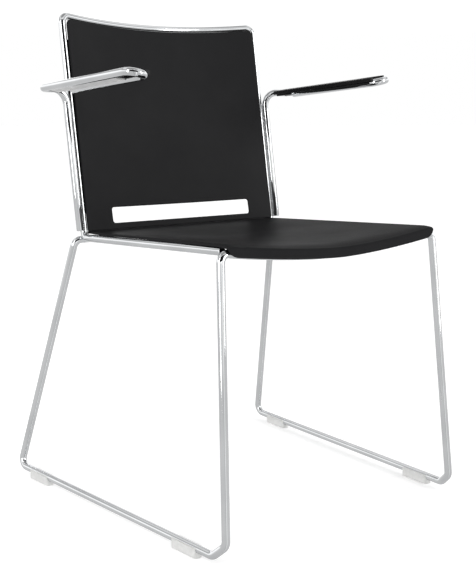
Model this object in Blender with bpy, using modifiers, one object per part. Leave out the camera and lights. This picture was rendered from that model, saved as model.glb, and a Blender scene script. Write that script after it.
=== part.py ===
"""Stacking armchair: a bent chrome rod frame carrying a moulded seat and back.

The front of the chair faces -Y, +X is to the right seen from the front, and
the floor is z = 0 under the middle of the footprint. All sizes are in metres.
"""
import math

import bmesh
import bpy
from mathutils import Matrix, Vector

# Rod stock and fits
ROD_DIAMETER = 0.013
ROD_RADIUS = ROD_DIAMETER / 2
FIT = 0.0003
FRAME_BEND = 0.013
LEG_TOP_BEND = 0.020
FLOOR_BEND = 0.030
BEND_STEPS = 8
ROD_ROUNDNESS = 4

# Sled base, given as rod centrelines where the straight runs would meet
FLOOR_GAP = 0.0075
BASE_DEPTH = 0.582
REAR_FLOOR_HALF = 0.286
FRONT_FLOOR_HALF = 0.253
LEG_TOP_HALF = 0.2262
REAR_CROSS_Y = 0.1725
REAR_CROSS_BELOW = 0.0033
FRONT_CROSS_Y = -0.245
FRONT_CROSS_STRAIGHT = 0.030
FRONT_CROSS_EASE = 0.0045
FRONT_CROSS_DROP = 0.0140
FRONT_CROSS_LEVEL = 0.030

# Seat and back rod
RAIL_HALF = 0.2125
RAIL_REAR_Y = 0.163
RAIL_REAR_Z = 0.4455
RAIL_RISE = 0.0150
BACK_HEIGHT = 0.383
BACK_LEAN = 0.062
TOP_BOW = 0.030
TOP_DIP = 0.011
TOP_STEPS = 16

# Seat shell
SEAT_THICKNESS = 0.004
SEAT_REAR_Y = 0.168
SEAT_REAR_HALF = 0.204
SEAT_FRONT_HALF = 0.2190
SEAT_REST = 0.003
SEAT_DISH = 0.0140
SEAT_DISH_RUN = 0.16
NOSE_START_Y = -0.228
NOSE_AHEAD_MIDDLE = 0.0158
NOSE_AHEAD_SIDE = 0.0055
NOSE_FALL = 0.0020
NOSE_RADIUS = 0.006
LIP_DEPTH = 0.0165
LIP_TUCK = 0.004
SEAT_CORNER = 0.010
LIP_CORNER = 0.014

# Back shell
BACK_THICKNESS = 0.004
BACK_OVERLAP_LOW = 0.0035
BACK_OVERLAP_TOP = 0.0010
BACK_TOP_INSET = 0.005
BACK_CORNER = 0.012
BACK_SEAT_GAP = 0.0006
CLIP_WALL = 0.003
CLIP_LENGTH = 0.300
SLOT_LENGTH = 0.311
SLOT_HEIGHT = 0.028
SLOT_CORNER = 0.005
SLOT_ABOVE_SEAT = 0.0114

# Arms, in a frame with u across (outward), v along (forward) and w up
ARM_LOOP_HALF = 0.0155
ARM_LENGTH = 0.284
ARM_CENTRE_X = 0.2608
ARM_REAR_Y = 0.185
ARM_OVER_RAIL = 0.2533
ARM_RISE = 0.0197
ARM_CANT = math.radians(12.0)
ARM_SIDE_LEAD = 0.0070
ARM_RISER_BEND = 0.026
ARM_CORNER_BEND = 0.017
ARM_END = 0.052
PLATE_THICKNESS = 0.0025
PLATE_END = 0.226
PLATE_SCOOP = 0.006
PAD_START = 0.003
PAD_START_SKEW = 0.006
PAD_LENGTH = 0.271
PAD_UNDER = 0.0008
PAD_TOP = 0.0105
PAD_FALL = 0.0018
PAD_INNER = 0.0238
PAD_OUTER = 0.0115
PAD_SCOOP = 0.044
PAD_HORN = 0.0032
PAD_SKIRT_UP = 0.0035
PAD_EDGE = 0.0014

# Seat fixings
TAB_WIDTH = 0.024
TAB_LENGTH = 0.028
TAB_THICKNESS = 0.003
TAB_REAR_Y = 0.090
TAB_FRONT_Y = -0.165
BOSS_RADIUS = 0.0065
SCREW_RADIUS = 0.0021
SCREW_HEAD_RADIUS = 0.0046
SCREW_HEAD_HEIGHT = 0.0028
SCREW_GRIP = 0.005

# Floor glides
GLIDE_LENGTH = 0.062
GLIDE_WIDTH = 0.0165
GLIDE_WRAP = 0.003
REAR_GLIDE_IN = 0.0725
FRONT_GLIDE_IN = 0.092

# Worked-out places
FLOOR_ROD_Z = FLOOR_GAP + ROD_RADIUS
RAIL_FRONT_Y = FRONT_CROSS_Y + ROD_DIAMETER + FIT
RAIL_FRONT_Z = RAIL_REAR_Z + RAIL_RISE
FRONT_CROSS_Z = RAIL_FRONT_Z
REAR_CROSS_Z = RAIL_REAR_Z - REAR_CROSS_BELOW
ARM_REAR_Z = RAIL_REAR_Z + ARM_OVER_RAIL
BACK_TOP_Y = RAIL_REAR_Y + BACK_LEAN
BACK_TOP_Z = RAIL_REAR_Z + BACK_HEIGHT

PARTS = "stacking_armchair"
CUTTERS = "cutters"


def start_scene():
    """Empty the scene and make one collection for the parts and one for cutters."""
    for obj in list(bpy.data.objects):
        bpy.data.objects.remove(obj, do_unlink=True)
    for name in (PARTS, CUTTERS):
        collection = bpy.data.collections.new(name)
        bpy.context.scene.collection.children.link(collection)


def make_material(name, colour, roughness, metallic):
    """A Principled material with the part's plain finish."""
    material = bpy.data.materials.new(name)
    material.use_nodes = True
    shader = material.node_tree.nodes["Principled BSDF"]
    shader.inputs["Base Color"].default_value = (*colour, 1.0)
    shader.inputs["Roughness"].default_value = roughness
    shader.inputs["Metallic"].default_value = metallic
    material.diffuse_color = (*colour, 1.0)
    return material


def chrome(name):
    return make_material(name + "_chrome", (0.78, 0.79, 0.80), 0.08, 1.0)


def black_plastic(name):
    return make_material(name + "_plastic", (0.022, 0.022, 0.024), 0.45, 0.0)


def clear_plastic(name):
    return make_material(name + "_plastic", (0.62, 0.62, 0.60), 0.40, 0.0)


def grey_paint(name):
    return make_material(name + "_paint", (0.50, 0.50, 0.50), 0.55, 0.0)


def zinc(name):
    return make_material(name + "_zinc", (0.60, 0.60, 0.58), 0.35, 1.0)


def add_object(name, mesh, material=None, cutter=False):
    """Put a mesh in the scene as a named part, or as a hidden cutter."""
    obj = bpy.data.objects.new(name, mesh)
    bpy.data.collections[CUTTERS if cutter else PARTS].objects.link(obj)
    if material:
        mesh.materials.append(material)
    if cutter:
        obj.hide_render = True
        obj.display_type = 'WIRE'
    return obj


def mesh_from(bm, name, smooth=False):
    """Close off a bmesh as a mesh with its faces turned outward."""
    bmesh.ops.recalc_face_normals(bm, faces=bm.faces)
    for face in bm.faces:
        face.smooth = smooth
    mesh = bpy.data.meshes.new(name)
    bm.to_mesh(mesh)
    bm.free()
    return mesh


def settled_mesh(obj, name):
    """The object's mesh with its modifiers worked out."""
    bpy.context.view_layer.update()
    graph = bpy.context.evaluated_depsgraph_get()
    mesh = bpy.data.meshes.new_from_object(obj.evaluated_get(graph))
    mesh.name = name
    return mesh


def cut(obj, cutter, operation='DIFFERENCE'):
    """Cut or join one object with another, and keep the result."""
    step = obj.modifiers.new(operation.lower(), 'BOOLEAN')
    step.operation = operation
    step.solver = 'EXACT'
    step.object = cutter
    mesh = settled_mesh(obj, obj.name)
    obj.modifiers.clear()
    obj.data = mesh
    return obj


def mirrored(point, side):
    return Vector((point[0] * side, point[1], point[2]))


# Bent rods

def bent_path(corners, radii):
    """Points of a line through the corners, with an arc at each inner corner."""
    points = [Vector(corners[0])]
    for before, corner, after, radius in zip(corners, corners[1:], corners[2:], radii):
        corner = Vector(corner)
        back = (Vector(before) - corner).normalized()
        ahead = (Vector(after) - corner).normalized()
        turn = math.pi - back.angle(ahead)
        if radius == 0 or turn < 1e-4:
            points.append(corner)
            continue
        reach = radius * math.tan(turn / 2)
        centre = corner + (back + ahead).normalized() * (radius / math.cos(turn / 2))
        spoke = corner + back * reach - centre
        across = corner + ahead * reach - centre
        axis = spoke.cross(across).normalized()
        for i in range(BEND_STEPS + 1):
            swing = Matrix.Rotation(turn * i / BEND_STEPS, 3, axis)
            points.append(centre + swing @ spoke)
    points.append(Vector(corners[-1]))
    return points


def rod_mesh(name, points, radius):
    """A round solid rod along the points, with closed ends."""
    curve = bpy.data.curves.new(name, 'CURVE')
    curve.dimensions = '3D'
    curve.bevel_depth = radius
    curve.bevel_resolution = ROD_ROUNDNESS
    curve.use_fill_caps = True
    spline = curve.splines.new('POLY')
    spline.points.add(len(points) - 1)
    for place, point in zip(spline.points, points):
        place.co = (*point, 1.0)
    holder = bpy.data.objects.new(name, curve)
    bpy.context.scene.collection.objects.link(holder)
    mesh = settled_mesh(holder, name)
    bpy.data.objects.remove(holder, do_unlink=True)
    bpy.data.curves.remove(curve)
    bm = bmesh.new()
    bm.from_mesh(mesh)
    bmesh.ops.remove_doubles(bm, verts=bm.verts, dist=0.00001)
    bpy.data.meshes.remove(mesh)
    return mesh_from(bm, name, smooth=True)


def make_rod(name, points):
    return add_object(name, rod_mesh(name, points, ROD_RADIUS), chrome(name))


def top_bow(x):
    """How far across the back a point is: 1 at the middle and 0 at the uprights."""
    return 1.0 - (x / RAIL_HALF) ** 2


def make_seat_back_rod():
    """One rod: side rail, upright, bowed top bar, and back down the other side."""
    rail_front = (RAIL_HALF, RAIL_FRONT_Y, RAIL_FRONT_Z)
    rail_rear = (RAIL_HALF, RAIL_REAR_Y, RAIL_REAR_Z)
    top = (RAIL_HALF, BACK_TOP_Y, BACK_TOP_Z)
    left_side = [mirrored(p, -1) for p in (rail_front, rail_rear, top)]
    right_side = [mirrored(p, 1) for p in (top, rail_rear, rail_front)]
    bar = []
    for i in range(1, TOP_STEPS):
        x = RAIL_HALF * (2.0 * i / TOP_STEPS - 1.0)
        y = BACK_TOP_Y + TOP_BOW * top_bow(x)
        bar.append((x, y, BACK_TOP_Z - TOP_DIP * top_bow(x)))
    corners = left_side + bar + right_side
    radii = [FRAME_BEND, FRAME_BEND] + [0] * len(bar) + [FRAME_BEND, FRAME_BEND]
    make_rod("seat_back_rod", bent_path(corners, radii))


def front_cross_z(x):
    """Height of the front cross rod, which hangs lower under the dished seat."""
    flat_end = LEG_TOP_HALF - FRONT_CROSS_STRAIGHT
    share = max(abs(x) - FRONT_CROSS_LEVEL, 0.0) / (flat_end - FRONT_CROSS_LEVEL)
    return FRONT_CROSS_Z - FRONT_CROSS_EASE - FRONT_CROSS_DROP * (1.0 - share ** 1.5)


def make_sled_rod(name, side):
    """One side of the base: half cross rod, front leg, runner, rear leg, half cross rod."""
    rear_floor = (REAR_FLOOR_HALF, BASE_DEPTH / 2, FLOOR_ROD_Z)
    front_floor = (FRONT_FLOOR_HALF, -BASE_DEPTH / 2, FLOOR_ROD_Z)
    front_top = (LEG_TOP_HALF, FRONT_CROSS_Y, FRONT_CROSS_Z)
    rear_top = (LEG_TOP_HALF, REAR_CROSS_Y, REAR_CROSS_Z)
    middle = FIT / 2
    flat_end = LEG_TOP_HALF - FRONT_CROSS_STRAIGHT
    cross = [(middle, FRONT_CROSS_Y, front_cross_z(middle))]
    for i in range(8):
        x = FRONT_CROSS_LEVEL + (flat_end - FRONT_CROSS_LEVEL) * i / 7
        cross.append((x, FRONT_CROSS_Y, front_cross_z(x)))
    corners = cross + [front_top, front_floor, rear_floor, rear_top]
    corners.append((middle, REAR_CROSS_Y, REAR_CROSS_Z))
    radii = [0] * (len(cross) - 1)
    radii += [LEG_TOP_BEND, FLOOR_BEND, FLOOR_BEND, LEG_TOP_BEND]
    make_rod(name, bent_path([mirrored(p, side) for p in corners], radii))


# Seat shell

def seat_half_width(y):
    """Half width of the seat, wider towards the front."""
    share = (SEAT_REAR_Y - y) / (SEAT_REAR_Y - FRONT_CROSS_Y)
    return SEAT_REAR_HALF + (SEAT_FRONT_HALF - SEAT_REAR_HALF) * share


def rail_height(y):
    share = (RAIL_REAR_Y - y) / (RAIL_REAR_Y - RAIL_FRONT_Y)
    return RAIL_REAR_Z + RAIL_RISE * share


def seat_height(across, y):
    """Top of the seat: it lies on the rails at the sides and dishes in between."""
    side = rail_height(y) + ROD_RADIUS + FIT + SEAT_THICKNESS
    share = min(max((RAIL_REAR_Y - y) / SEAT_DISH_RUN, 0.0), 1.0)
    depth = SEAT_DISH * share * share * (3.0 - 2.0 * share)
    margin = RAIL_HALF - SEAT_REST
    inward = 1.0 - min(abs(across) * seat_half_width(y) / margin, 1.0) ** 1.6
    past = max(NOSE_START_Y - y, 0.0) / (NOSE_START_Y - FRONT_CROSS_Y + NOSE_AHEAD_SIDE)
    return side - depth * inward - NOSE_FALL * past ** 2


def seat_front(across):
    """Where the nose starts to roll over: bowed forward in the middle."""
    bow = NOSE_AHEAD_MIDDLE - NOSE_AHEAD_SIDE
    return FRONT_CROSS_Y - NOSE_AHEAD_MIDDLE + bow * abs(across) ** 1.8


def seat_point(across, run, roll, drop):
    """A point of the seat's top face: run to the nose, then the roll, then the lip."""
    front = seat_front(across)
    y = SEAT_REAR_Y + (front - SEAT_REAR_Y) * (1.0 - (1.0 - run) ** 1.35)
    x = across * seat_half_width(y)
    z = seat_height(across, y)
    turn = roll * math.pi / 2
    y -= NOSE_RADIUS * math.sin(turn)
    z -= NOSE_RADIUS * (1.0 - math.cos(turn))
    y += LIP_TUCK * (1.0 - across ** 2) * drop
    z -= (LIP_DEPTH - NOSE_RADIUS) * drop
    return Vector((x, y, z))


def sheet_object(name, columns, rows, point_at, thickness):
    """A curved sheet through point_at(across, row share), thickened behind its face."""
    bm = bmesh.new()
    bmesh.ops.create_grid(bm, x_segments=columns, y_segments=rows, size=1.0)
    for vert in bm.verts:
        vert.co = point_at(math.sin(vert.co.x * math.pi / 2), (1.0 + vert.co.y) / 2)
    for face in bm.faces:
        face.smooth = True
    mesh = bpy.data.meshes.new(name)
    bm.to_mesh(mesh)
    bm.free()
    sheet = add_object(name, mesh, black_plastic(name))
    wall = sheet.modifiers.new("wall", 'SOLIDIFY')
    wall.thickness = thickness
    wall.offset = -1.0
    solid = settled_mesh(sheet, name)
    sheet.modifiers.clear()
    sheet.data = solid
    return sheet


def corner_cutter(name, corner, out_a, out_b, along, radius):
    """Removes the sharp corner outside a round of this radius, all along one way."""
    reach = radius * 3
    centre = corner - (out_a + out_b) * radius
    points = []
    for i in range(9):
        angle = math.pi / 2 * i / 8
        points.append(centre + (out_a * math.cos(angle) + out_b * math.sin(angle)) * radius)
    points.append(points[-1] + out_b * reach)
    points.append(centre + (out_a + out_b) * (radius + reach))
    points.append(points[0] + out_a * reach)
    bm = bmesh.new()
    face = bm.faces.new([bm.verts.new(p) for p in points])
    grown = bmesh.ops.extrude_face_region(bm, geom=[face])
    far = [v for v in grown["geom"] if isinstance(v, bmesh.types.BMVert)]
    bmesh.ops.translate(bm, verts=far, vec=along)
    return add_object(name, mesh_from(bm, name), None, True)


def round_seat_corners(seat, word, side):
    """Round the front corner in plan, and the lower end of the lip."""
    out = Vector((side, 0.0, 0.0))
    forward = Vector((0.0, -1.0, 0.0))
    front = seat_front(1.0) - NOSE_RADIUS
    top = seat_height(1.0, seat_front(1.0))
    half = seat_half_width(seat_front(1.0))
    plan = Vector((side * half, front, top - 2 * LIP_DEPTH))
    cut(seat, corner_cutter("plan_corner_" + word, plan, out, forward,
                            Vector((0.0, 0.0, 3 * LIP_DEPTH)), SEAT_CORNER))
    low = Vector((side * half, front - 0.01, top - LIP_DEPTH))
    cut(seat, corner_cutter("lip_corner_" + word, low, out, Vector((0.0, 0.0, -1.0)),
                            Vector((0.0, 0.01 + SEAT_THICKNESS + 0.001, 0.0)), LIP_CORNER))


def make_seat_shell():
    """Dished seat with a rolled nose, and a boss over each fixing tab."""
    columns = 24
    rows = 26
    roll_rows = 4
    lip_rows = 2
    flat_rows = rows - roll_rows - lip_rows

    def point_at(across, share):
        step = round((1.0 - share) * rows)
        run = min(step / flat_rows, 1.0)
        roll = min(max(step - flat_rows, 0) / roll_rows, 1.0)
        drop = max(step - flat_rows - roll_rows, 0) / lip_rows
        return seat_point(across, run, roll, drop)

    seat = sheet_object("seat_shell", columns, rows, point_at, SEAT_THICKNESS)
    for side, word in ((-1, "left"), (1, "right")):
        round_seat_corners(seat, word, side)
    for name, x, y in tab_places():
        under = seat_height(x / seat_half_width(y), y) - SEAT_THICKNESS
        boss = cylinder("boss_" + name, BOSS_RADIUS, tab_top(y) + FIT,
                        under + SEAT_THICKNESS / 2, x, y)
        cut(seat, boss, 'UNION')
        hole = cylinder("hole_" + name, SCREW_RADIUS + FIT, tab_top(y) - TAB_THICKNESS,
                        tab_top(y) + SCREW_GRIP, x, y)
        cut(seat, hole)


# Back shell

def upright_y(z):
    """Where the upright's centreline is at a height."""
    return RAIL_REAR_Y + (z - RAIL_REAR_Z) * BACK_LEAN / BACK_HEIGHT


def back_bottom():
    return seat_height(1.0, RAIL_REAR_Y - ROD_RADIUS) + BACK_SEAT_GAP


def back_bow(rise):
    """How far the middle of the back bows rearward at a height."""
    return (0.10 + 0.90 * rise) * TOP_BOW


def back_overlap(rise):
    """How far the panel's edge laps in front of the uprights."""
    return BACK_OVERLAP_LOW + (BACK_OVERLAP_TOP - BACK_OVERLAP_LOW) * rise


def back_half_width(rise):
    return RAIL_HALF - ROD_RADIUS + back_overlap(rise)


def back_front_offset(rise):
    """Front face of the back shell, ahead of the uprights' centreline."""
    edge_slope = 2.0 * back_bow(rise) / back_half_width(rise)
    lap = back_overlap(rise) + BACK_THICKNESS * math.sin(math.atan(edge_slope))
    beside = ROD_RADIUS - lap
    stand = math.sqrt((ROD_RADIUS + 2 * FIT) ** 2 - beside ** 2)
    return stand + BACK_THICKNESS


def back_point(across, rise):
    """A point of the back's front face. rise is 0 at the bottom and 1 at the top."""
    low = back_bottom()
    dip = TOP_DIP * (1.0 - across ** 2)
    high = BACK_TOP_Z - BACK_TOP_INSET - dip * rise
    z = low + (high - low) * rise
    half = back_half_width(rise)
    drop = (high - z) if rise < 1.0 else 0.0
    corner = max(BACK_CORNER - drop, 0.0)
    half -= BACK_CORNER - math.sqrt(BACK_CORNER ** 2 - corner ** 2)
    bow = back_bow(rise) * (1.0 - across ** 2)
    return Vector((across * half, upright_y(z) - back_front_offset(rise) + bow, z))


def slot_outline(steps=5):
    """Outline of the slot with rounded corners, as (x, z) points about its middle."""
    points = []
    for quarter, (sx, sz) in enumerate(((1, 1), (-1, 1), (-1, -1), (1, -1))):
        x = sx * (SLOT_LENGTH / 2 - SLOT_CORNER)
        z = sz * (SLOT_HEIGHT / 2 - SLOT_CORNER)
        for i in range(steps + 1):
            angle = math.pi / 2 * (quarter + i / steps)
            points.append((x + SLOT_CORNER * math.cos(angle), z + SLOT_CORNER * math.sin(angle)))
    return points


def prism(name, outline, y_from, y_to, z_mid):
    """A cutter: an outline in x and z, extruded along y."""
    bm = bmesh.new()
    ring = [bm.verts.new((x, y_from, z_mid + z)) for x, z in outline]
    face = bm.faces.new(ring)
    grown = bmesh.ops.extrude_face_region(bm, geom=[face])
    far = [v for v in grown["geom"] if isinstance(v, bmesh.types.BMVert)]
    bmesh.ops.translate(bm, verts=far, vec=(0.0, y_to - y_from, 0.0))
    return add_object(name, mesh_from(bm, name), None, True)


def clip_channel(name, side):
    """The hook moulded along each side of the back, which snaps behind the upright."""
    inner = RAIL_HALF - ROD_RADIUS - FIT
    wall = inner - CLIP_WALL
    back = ROD_RADIUS + FIT
    hook = RAIL_HALF - 0.0005
    front = -ROD_RADIUS
    outline = [(wall, front), (inner, front), (inner, back * 0.4)]
    for i in range(5):
        angle = math.radians(157 - 67 * i / 4)
        outline.append((RAIL_HALF + (ROD_RADIUS + FIT) * math.cos(angle),
                        (ROD_RADIUS + FIT) * math.sin(angle)))
    outline[-1] = (hook, back)
    outline += [(hook, back + CLIP_WALL), (wall + CLIP_WALL / 2, back + CLIP_WALL), (wall, back)]
    bm = bmesh.new()
    low = back_bottom() + 0.030
    ring = []
    for x, y in outline:
        ring.append(bm.verts.new((side * x, upright_y(low) + y, low)))
    face = bm.faces.new(ring)
    grown = bmesh.ops.extrude_face_region(bm, geom=[face])
    far = [v for v in grown["geom"] if isinstance(v, bmesh.types.BMVert)]
    shift = (0.0, upright_y(low + CLIP_LENGTH) - upright_y(low), CLIP_LENGTH)
    bmesh.ops.translate(bm, verts=far, vec=shift)
    return add_object(name, mesh_from(bm, name), None, True)


def make_back_shell():
    """Bowed back panel with a slot above the seat and a clip along each upright."""

    def point_at(across, share):
        return back_point(across, math.sin(share * math.pi / 2))

    back = sheet_object("back_shell", 24, 20, point_at, BACK_THICKNESS)
    for side, word in ((-1, "left"), (1, "right")):
        cut(back, clip_channel("clip_" + word, side), 'UNION')
    slot_z = back_bottom() + SLOT_ABOVE_SEAT + SLOT_HEIGHT / 2
    slot = prism("back_slot", slot_outline(), RAIL_REAR_Y - 0.06, RAIL_REAR_Y + 0.08, slot_z)
    cut(back, slot)


# Arms

def arm_frame(side):
    """Matrix from the arm's u, v, w to the world, canted and rising to the front."""
    along = Vector((0.0, -ARM_LENGTH, ARM_RISE)).normalized()
    across = Vector((math.cos(ARM_CANT), 0.0, math.sin(ARM_CANT)))
    across = (across - along * across.dot(along)).normalized()
    up = across.cross(-along)
    matrix = Matrix((across, along, up)).transposed().to_4x4()
    matrix.translation = Vector((ARM_CENTRE_X, ARM_REAR_Y, ARM_REAR_Z))
    return Matrix.Diagonal((side, 1.0, 1.0, 1.0)) @ matrix


def arm_rod_points(side):
    """Up beside the upright, level across, forward as a hairpin, and back on the inside."""
    frame = arm_frame(1)
    beside = math.sqrt((ROD_DIAMETER + FIT) ** 2 - ARM_SIDE_LEAD ** 2)
    x = RAIL_HALF + beside
    low_z = RAIL_REAR_Z + 2 * ROD_RADIUS
    low = (x, upright_y(low_z) - ARM_SIDE_LEAD, low_z)
    rear_outer = frame @ Vector((ARM_LOOP_HALF, 0.0, 0.0))
    high = (x, upright_y(rear_outer.z) - ARM_SIDE_LEAD, rear_outer.z)
    tip = ARM_LENGTH - ROD_RADIUS
    front_outer = frame @ Vector((ARM_LOOP_HALF, tip, 0.0))
    front_inner = frame @ Vector((-ARM_LOOP_HALF, tip, 0.0))
    end_inner = frame @ Vector((-ARM_LOOP_HALF, ARM_END, 0.0))
    corners = [low, high, rear_outer, front_outer, front_inner, end_inner]
    loop_bend = ARM_LOOP_HALF * 0.98
    radii = [ARM_RISER_BEND, ARM_CORNER_BEND, loop_bend, loop_bend]
    return bent_path([mirrored(p, side) for p in corners], radii)


def scoop_edge(u_from, u_to, v_end, depth):
    """Plan of a concave front edge between two horns."""
    points = []
    for i in range(13):
        share = i / 12
        dip = depth * math.sin(math.pi * share) ** 0.6
        points.append((u_from + (u_to - u_from) * share, v_end - dip))
    return points


def arm_prism(outline, w_from, w_to):
    """A plan in u and v made solid between two heights, and the verts of its top."""
    bm = bmesh.new()
    face = bm.faces.new([bm.verts.new((u, v, w_from)) for u, v in outline])
    grown = bmesh.ops.extrude_face_region(bm, geom=[face])
    top = [v for v in grown["geom"] if isinstance(v, bmesh.types.BMVert)]
    bmesh.ops.translate(bm, verts=top, vec=(0.0, 0.0, w_to - w_from))
    return bm, top


def make_arm_plate(name, side):
    """Steel plate welded between the loop's limbs, under the pad."""
    half = ARM_LOOP_HALF - ROD_RADIUS - FIT
    start = ARM_CORNER_BEND + FIT
    outline = [(-half, start), (half, start)]
    outline += scoop_edge(half, -half, PLATE_END, PLATE_SCOOP)
    top = -PAD_UNDER - FIT
    bm, _ = arm_prism(outline, top - PLATE_THICKNESS, top)
    bmesh.ops.transform(bm, matrix=arm_frame(side), verts=bm.verts)
    return add_object(name, mesh_from(bm, name), grey_paint(name))


def make_arm_pad(name, side, rod_points):
    """Moulded pad on the loop, grooved for the rod and cut up over the inner limb."""
    outer_horn = PAD_OUTER - PAD_HORN
    inner_horn = -PAD_INNER + 2 * PAD_HORN
    outline = [(PAD_OUTER, PAD_START - PAD_START_SKEW), (PAD_OUTER, PAD_LENGTH)]
    outline += scoop_edge(outer_horn, inner_horn, PAD_LENGTH, PAD_SCOOP)
    outline += [(-PAD_INNER, PAD_LENGTH), (-PAD_INNER, PAD_START)]
    bm, top = arm_prism(outline, -PAD_UNDER, PAD_TOP)
    for vert in top:
        vert.co.z -= PAD_FALL * (vert.co.x + PAD_INNER) / (PAD_INNER + PAD_OUTER)
    rim = [e for e in bm.edges if all(v in top for v in e.verts)]
    bmesh.ops.bevel(bm, geom=rim, offset=PAD_EDGE, segments=3, affect='EDGES', profile=0.5)
    bmesh.ops.transform(bm, matrix=arm_frame(side), verts=bm.verts)
    pad = add_object(name, mesh_from(bm, name), black_plastic(name))
    groove = add_object("groove_" + name,
                        rod_mesh("groove_" + name, rod_points, ROD_RADIUS + FIT), None, True)
    cut(pad, groove)
    front = PAD_LENGTH - PAD_SCOOP
    reach = PAD_INNER + PAD_OUTER
    beyond = PAD_LENGTH + reach
    below = [(-reach, -reach), (-ARM_LOOP_HALF, -reach), (-ARM_LOOP_HALF, front)]
    below += [(reach, front), (reach, beyond), (-reach, beyond)]
    bm, _ = arm_prism(below, -reach, PAD_SKIRT_UP)
    bmesh.ops.transform(bm, matrix=arm_frame(side), verts=bm.verts)
    return cut(pad, add_object("under_" + name, mesh_from(bm, "under_" + name), None, True))


def make_arm(word, side):
    points = arm_rod_points(side)
    make_rod(word + "_arm_rod", points)
    make_arm_plate(word + "_arm_plate", side)
    make_arm_pad(word + "_arm_pad", side, points)


# Small parts

def cylinder(name, radius, z_from, z_to, x, y, sides=20, cutter=True):
    """An upright cylinder between two heights."""
    bm = bmesh.new()
    bmesh.ops.create_cone(bm, cap_ends=True, segments=sides, radius1=radius,
                          radius2=radius, depth=z_to - z_from)
    bmesh.ops.translate(bm, verts=bm.verts, vec=(x, y, (z_from + z_to) / 2))
    return add_object(name, mesh_from(bm, name), None, cutter)


def tab_places():
    """Name, x and y of each seat fixing."""
    x = RAIL_HALF - ROD_RADIUS - FIT - TAB_WIDTH / 2
    places = []
    for side, word in ((-1, "left"), (1, "right")):
        places.append(("front_" + word, side * x, TAB_FRONT_Y))
        places.append(("rear_" + word, side * x, TAB_REAR_Y))
    return places


def tab_top(y):
    return rail_height(y) + TAB_THICKNESS / 2


def make_seat_tab(name, x, y):
    """Steel tab welded to the inside of the rail, with a hole for its screw."""
    top = tab_top(y)
    bm = bmesh.new()
    bmesh.ops.create_cube(bm, size=1.0)
    bmesh.ops.scale(bm, verts=bm.verts, vec=(TAB_WIDTH, TAB_LENGTH, TAB_THICKNESS))
    upright_edges = [e for e in bm.edges if abs((e.verts[0].co - e.verts[1].co).z) > 0.001]
    inner = [e for e in upright_edges if e.verts[0].co.x * x < 0]
    bmesh.ops.bevel(bm, geom=inner, offset=0.006, segments=4, affect='EDGES', profile=0.5)
    bmesh.ops.translate(bm, verts=bm.verts, vec=(x, y, top - TAB_THICKNESS / 2))
    tab = add_object("seat_tab_" + name, mesh_from(bm, name), chrome("seat_tab_" + name))
    hole = cylinder("tab_hole_" + name, SCREW_RADIUS + FIT, top - 0.01, top + 0.01, x, y)
    return cut(tab, hole)


def make_screw(name, x, y):
    """Pan-head screw, driven up through the tab into the seat's boss."""
    under = tab_top(y) - TAB_THICKNESS - FIT
    tip = tab_top(y) + SCREW_GRIP - 2 * FIT
    profile = [(0.0, tip), (SCREW_RADIUS * 0.6, tip), (SCREW_RADIUS, tip - 0.001),
               (SCREW_RADIUS, under), (SCREW_HEAD_RADIUS, under)]
    for i in range(1, 5):
        angle = math.radians(90 * i / 5)
        profile.append((SCREW_HEAD_RADIUS * math.cos(angle),
                        under - SCREW_HEAD_HEIGHT * math.sin(angle)))
    profile.append((0.0, under - SCREW_HEAD_HEIGHT))
    bm = bmesh.new()
    verts = [bm.verts.new((r, 0.0, z)) for r, z in profile]
    edges = [bm.edges.new(pair) for pair in zip(verts, verts[1:])]
    bmesh.ops.spin(bm, geom=verts + edges, cent=(0, 0, 0), axis=(0, 0, 1),
                   angle=2 * math.pi, steps=16, use_merge=True)
    bmesh.ops.remove_doubles(bm, verts=bm.verts, dist=0.00001)
    bmesh.ops.translate(bm, verts=bm.verts, vec=(x, y, 0.0))
    label = "seat_screw_" + name
    screw = add_object(label, mesh_from(bm, label), zinc(label))
    head_low = under - SCREW_HEAD_HEIGHT
    for turn in (0, 1):
        slot = bmesh.new()
        bmesh.ops.create_cube(slot, size=1.0)
        size = (0.0044, 0.0009, 0.003) if turn else (0.0009, 0.0044, 0.003)
        bmesh.ops.scale(slot, verts=slot.verts, vec=size)
        bmesh.ops.translate(slot, verts=slot.verts, vec=(x, y, head_low))
        tool = add_object(f"drive_{turn}_{name}", mesh_from(slot, "drive"), None, True)
        cut(screw, tool)
    return screw


def make_glide(name, side, inward, from_front):
    """Clear glide that snaps up under the runner and rests on the floor."""
    rear = Vector((side * REAR_FLOOR_HALF, BASE_DEPTH / 2, 0.0))
    front = Vector((side * FRONT_FLOOR_HALF, -BASE_DEPTH / 2, 0.0))
    run = (rear - front).normalized()
    middle = front + run * inward if from_front else rear - run * inward
    height = FLOOR_ROD_Z + GLIDE_WRAP
    bm = bmesh.new()
    bmesh.ops.create_cube(bm, size=1.0)
    bmesh.ops.scale(bm, verts=bm.verts, vec=(GLIDE_WIDTH, GLIDE_LENGTH, height))
    corners = [e for e in bm.edges if abs((e.verts[0].co - e.verts[1].co).z) > 0.001]
    bmesh.ops.bevel(bm, geom=corners, offset=0.0060, segments=4, affect='EDGES', profile=0.5)
    low = [e for e in bm.edges if all(v.co.z < 0 for v in e.verts)]
    bmesh.ops.bevel(bm, geom=low, offset=0.0018, segments=2, affect='EDGES', profile=0.5)
    angle = math.atan2(-run.x, run.y)
    place = Matrix.Translation(middle + Vector((0, 0, height / 2)))
    bmesh.ops.transform(bm, matrix=place @ Matrix.Rotation(angle, 4, 'Z'), verts=bm.verts)
    glide = add_object(name, mesh_from(bm, name), clear_plastic(name))
    lift = Vector((0.0, 0.0, FLOOR_ROD_Z))
    line = [middle + lift - run * GLIDE_LENGTH, middle + lift + run * GLIDE_LENGTH]
    groove = add_object("groove_" + name,
                        rod_mesh("groove_" + name, line, ROD_RADIUS + FIT), None, True)
    return cut(glide, groove)


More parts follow.
